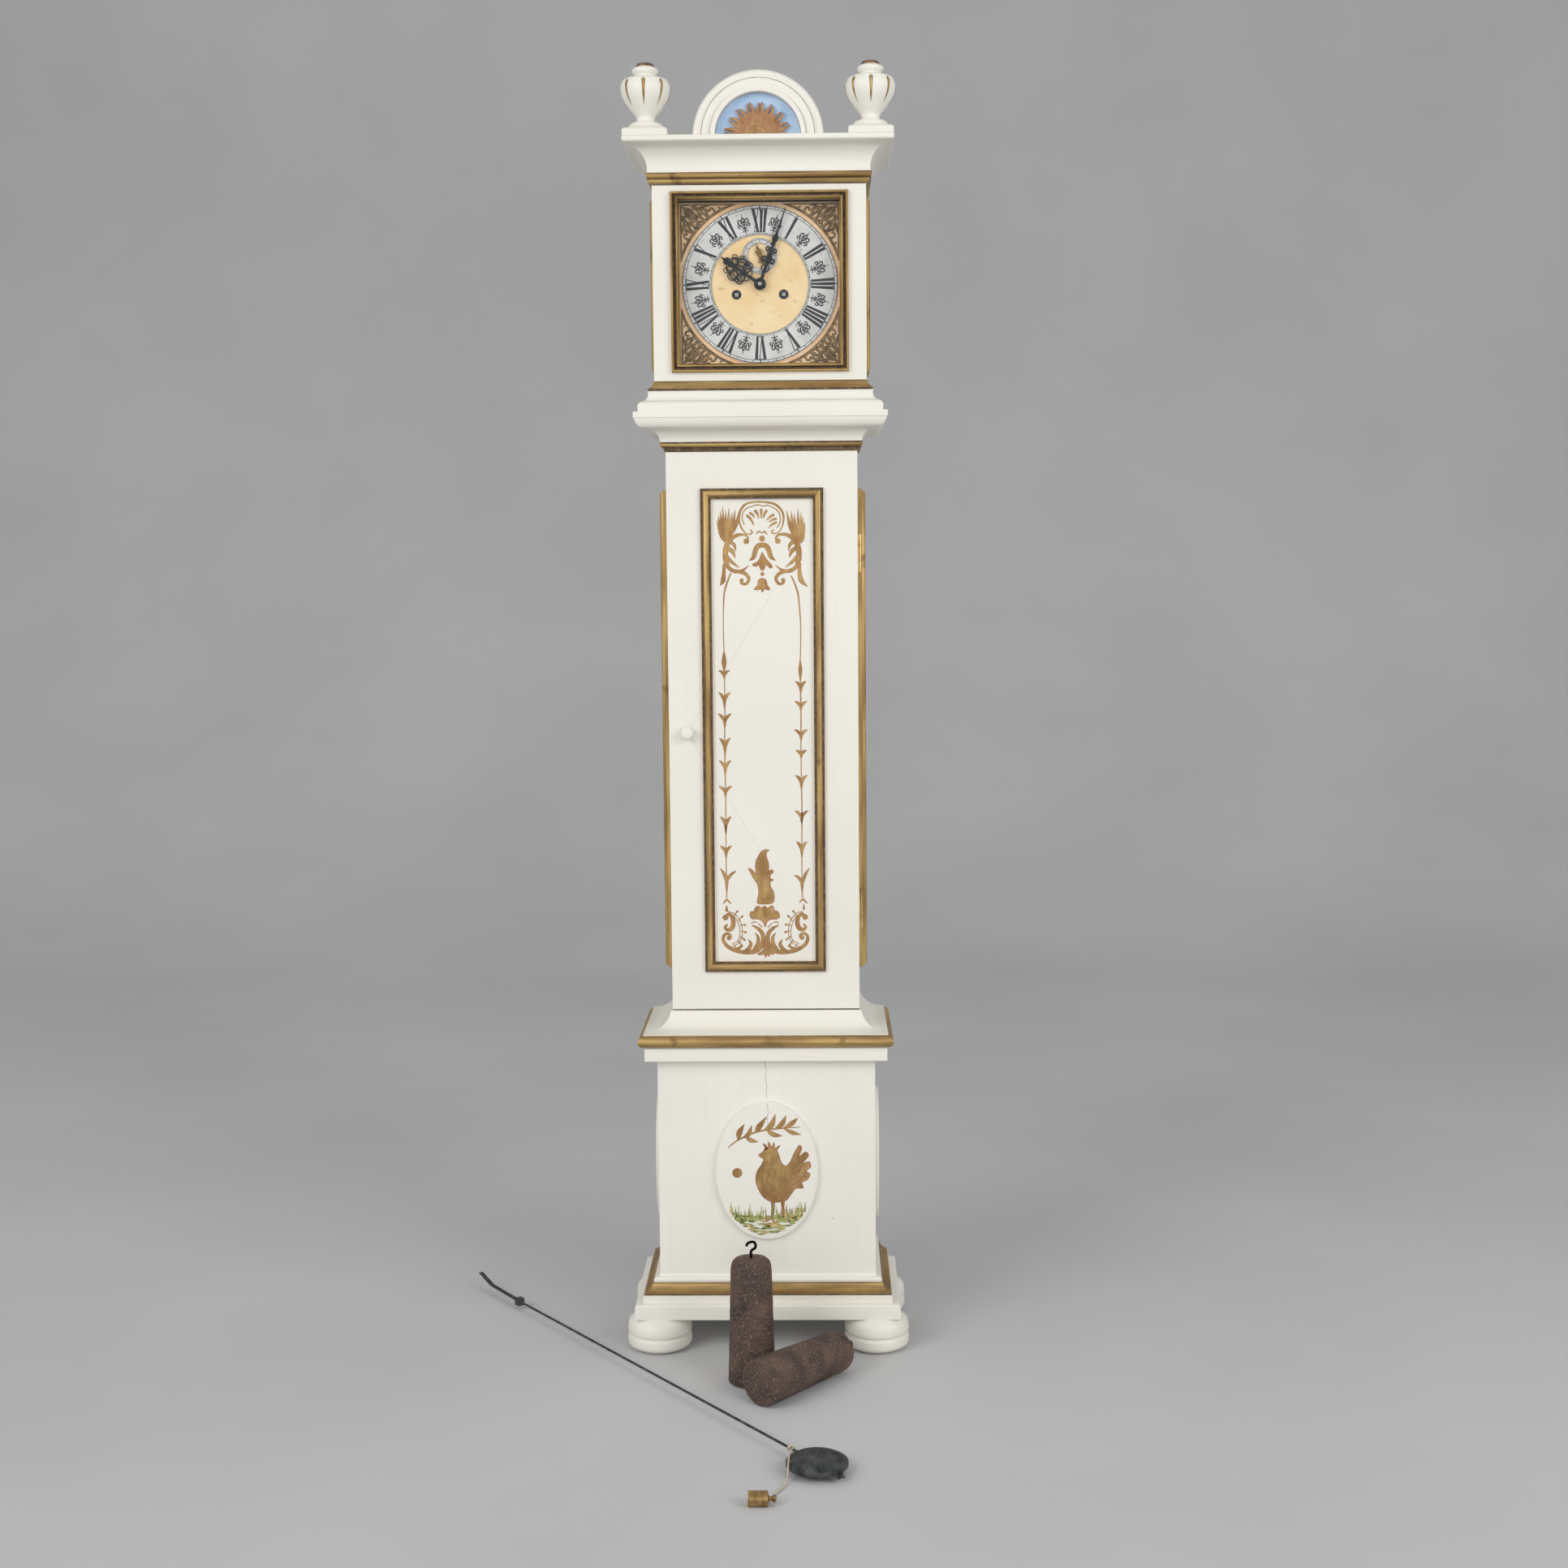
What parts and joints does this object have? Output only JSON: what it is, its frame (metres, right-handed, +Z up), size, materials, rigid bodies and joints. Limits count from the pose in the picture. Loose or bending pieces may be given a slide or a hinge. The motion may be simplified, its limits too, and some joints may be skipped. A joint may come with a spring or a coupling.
{
  "type": "longcase clock",
  "caption": "Tall painted longcase clock with gilt mouldings, opening trunk and hood doors and a geared movement, its weights and pendulum laid on the floor",
  "frame": {"origin": "on the floor in the middle of the clock's width, in the plane through the turning axes of the movement's mid depth", "axes": "+Z up, -Y the front with the dial and doors, +X to the viewer's right"},
  "size_m": [0.7449, 0.8826, 2.03],
  "materials": {
    "cream_paint": "aged cream paint with fine cracks and small chips",
    "gilding": "worn dark gilding, semi-gloss",
    "blue_paint": "matt light blue paint",
    "bare_wood": "bare planed pine, darkened",
    "glass": "clear flat pane",
    "brass": "satin brass",
    "cast_ornament": "dark patinated casting with bright edges",
    "silvered": "silvered brass, brushed round",
    "blued_steel": "blackened steel",
    "bright_steel": "polished steel",
    "rusty_iron": "rust brown cast iron",
    "dark_iron": "dark worn iron",
    "cotton": "twisted natural cotton"
  },
  "bodies": {
    "case": {"bun_feet": "cream_paint", "base_boards": "cream_paint", "plinth_mouldings": "cream_paint", "base_medallions": "cream_paint", "backboard": "bare_wood", "waist_mouldings": "cream_paint", "trunk_side_boards": "cream_paint", "trunk_rails": "cream_paint", "case_gilt_mouldings": "gilding", "trunk_cornice": "cream_paint", "trunk_side_frames": "gilding", "seat_board": "bare_wood", "trunk_case_hinges": "brass", "movement_plates": "brass", "movement_pillars": "brass", "dial_plate": "brass", "dial_rings": "silvered", "spandrels": "cast_ornament", "back_cock": "bright_steel", "bell": "brass"},
    "trunk_door": {"trunk_door_board": "cream_paint", "trunk_door_frame": "gilding", "trunk_door_hinges": "brass"},
    "latch": {"door_knob": "cream_paint", "door_latch": "bright_steel"},
    "hood": {"hood_boards": "cream_paint", "hood_rails": "cream_paint", "hood_base_moulding": "cream_paint", "hood_gilt_mouldings": "gilding", "hood_cornice": "cream_paint", "hood_side_frames": "gilding", "crest_arch": "cream_paint", "crest_panel": "blue_paint", "crest_sun": "gilding", "finials": "cream_paint"},
    "hood_door": {"hood_door_rails": "cream_paint", "hood_door_gilt_frame": "gilding", "hood_door_glass": "glass", "hood_door_pins": "brass"},
    "centre": {"centre_arbor": "brass", "minute_hand": "blued_steel"},
    "hour": {"hour_wheel": "brass", "hour_hand": "blued_steel"},
    "motion": {"minute_wheel": "brass"},
    "third": {"third_wheel": "brass"},
    "escape": {"escape_wheel": "brass", "seconds_hand": "blued_steel"},
    "going_great": {"going_great_wheel": "brass"},
    "going_drum": {"going_barrel": "brass"},
    "strike_great": {"strike_great_wheel": "brass"},
    "strike_drum": {"strike_barrel": "brass"},
    "anchor_body": {"anchor": "bright_steel"},
    "hammer_body": {"hammer": "bright_steel"},
    "weight_standing": {"iron_weight_standing": "rusty_iron"},
    "weight_lying": {"iron_weight_lying": "rusty_iron"},
    "pendulum": {"pendulum_rod": "dark_iron", "pendulum_bob": "dark_iron", "bob_string": "cotton", "brass_weight": "brass"}
  },
  "joints": [
    {"name": "trunk_door_hinge", "type": "hinge", "parent": "case", "child": "trunk_door", "pos_m": [0.1547, -0.06375, 1], "axis": [0, 0, 1], "range_deg": [0, 105]},
    {"name": "latch_turn", "type": "hinge", "parent": "trunk_door", "child": "latch", "pos_m": [-0.122, -0.06, 0.997], "axis": [0, 1, 0], "range_deg": [0, 90]},
    {"name": "hood_slide", "type": "slide", "parent": "case", "child": "hood", "axis": [0, -1, 0], "range_m": [0, 0.25]},
    {"name": "hood_door_hinge", "type": "hinge", "parent": "hood", "child": "hood_door", "pos_m": [0.158, -0.087, 1.7], "axis": [0, 0, 1], "range_deg": [0, 90]},
    {"name": "centre_turn", "type": "hinge", "parent": "case", "child": "centre", "pos_m": [0, 0, 1.7], "axis": [0, 1, 0], "continuous": true},
    {"name": "hour_turn", "type": "hinge", "parent": "case", "child": "hour", "pos_m": [0, 0, 1.7], "axis": [0, 1, 0], "continuous": true},
    {"name": "motion_turn", "type": "hinge", "parent": "case", "child": "motion", "pos_m": [0, 0, 1.6712], "axis": [0, 1, 0], "continuous": true},
    {"name": "third_turn", "type": "hinge", "parent": "case", "child": "third", "pos_m": [0.01703, 0, 1.72542], "axis": [0, 1, 0], "continuous": true},
    {"name": "escape_turn", "type": "hinge", "parent": "case", "child": "escape", "pos_m": [0, 0, 1.744], "axis": [0, 1, 0], "continuous": true},
    {"name": "going_great_turn", "type": "hinge", "parent": "case", "child": "going_great", "pos_m": [0.037, 0, 1.6845], "axis": [0, 1, 0], "continuous": true},
    {"name": "going_drum_turn", "type": "hinge", "parent": "going_great", "child": "going_drum", "pos_m": [0.037, 0, 1.6845], "axis": [0, 1, 0], "continuous": true},
    {"name": "strike_great_turn", "type": "hinge", "parent": "case", "child": "strike_great", "pos_m": [-0.037, 0, 1.6845], "axis": [0, 1, 0], "continuous": true},
    {"name": "strike_drum_turn", "type": "hinge", "parent": "strike_great", "child": "strike_drum", "pos_m": [-0.037, 0, 1.6845], "axis": [0, 1, 0], "continuous": true},
    {"name": "anchor_swing", "type": "hinge", "parent": "case", "child": "anchor_body", "pos_m": [0, 0, 1.775], "axis": [0, 1, 0], "range_deg": [-3, 3]},
    {"name": "hammer_lift", "type": "hinge", "parent": "case", "child": "hammer_body", "pos_m": [0.044, 0, 1.775], "axis": [0, 1, 0], "range_deg": [0, 15], "stiffness_Nm_per_rad": 0.05},
    {"name": "weight_standing_lift", "type": "slide", "parent": "case", "child": "weight_standing", "axis": [0, 0, 1], "range_m": [0, 0.3]},
    {"name": "weight_lying_lift", "type": "slide", "parent": "case", "child": "weight_lying", "axis": [0, 0, 1], "range_m": [0, 0.3]},
    {"name": "pendulum_lift", "type": "slide", "parent": "case", "child": "pendulum", "axis": [0, 0, 1], "range_m": [0, 0.3]}
  ],
  "couplings": [
    {"joint": "hour_turn", "follows": "centre_turn", "ratio": 0.083333},
    {"joint": "motion_turn", "follows": "centre_turn", "ratio": -1},
    {"joint": "third_turn", "follows": "centre_turn", "ratio": -7.5},
    {"joint": "escape_turn", "follows": "centre_turn", "ratio": 60},
    {"joint": "going_great_turn", "follows": "centre_turn", "ratio": -0.083333}
  ]
}
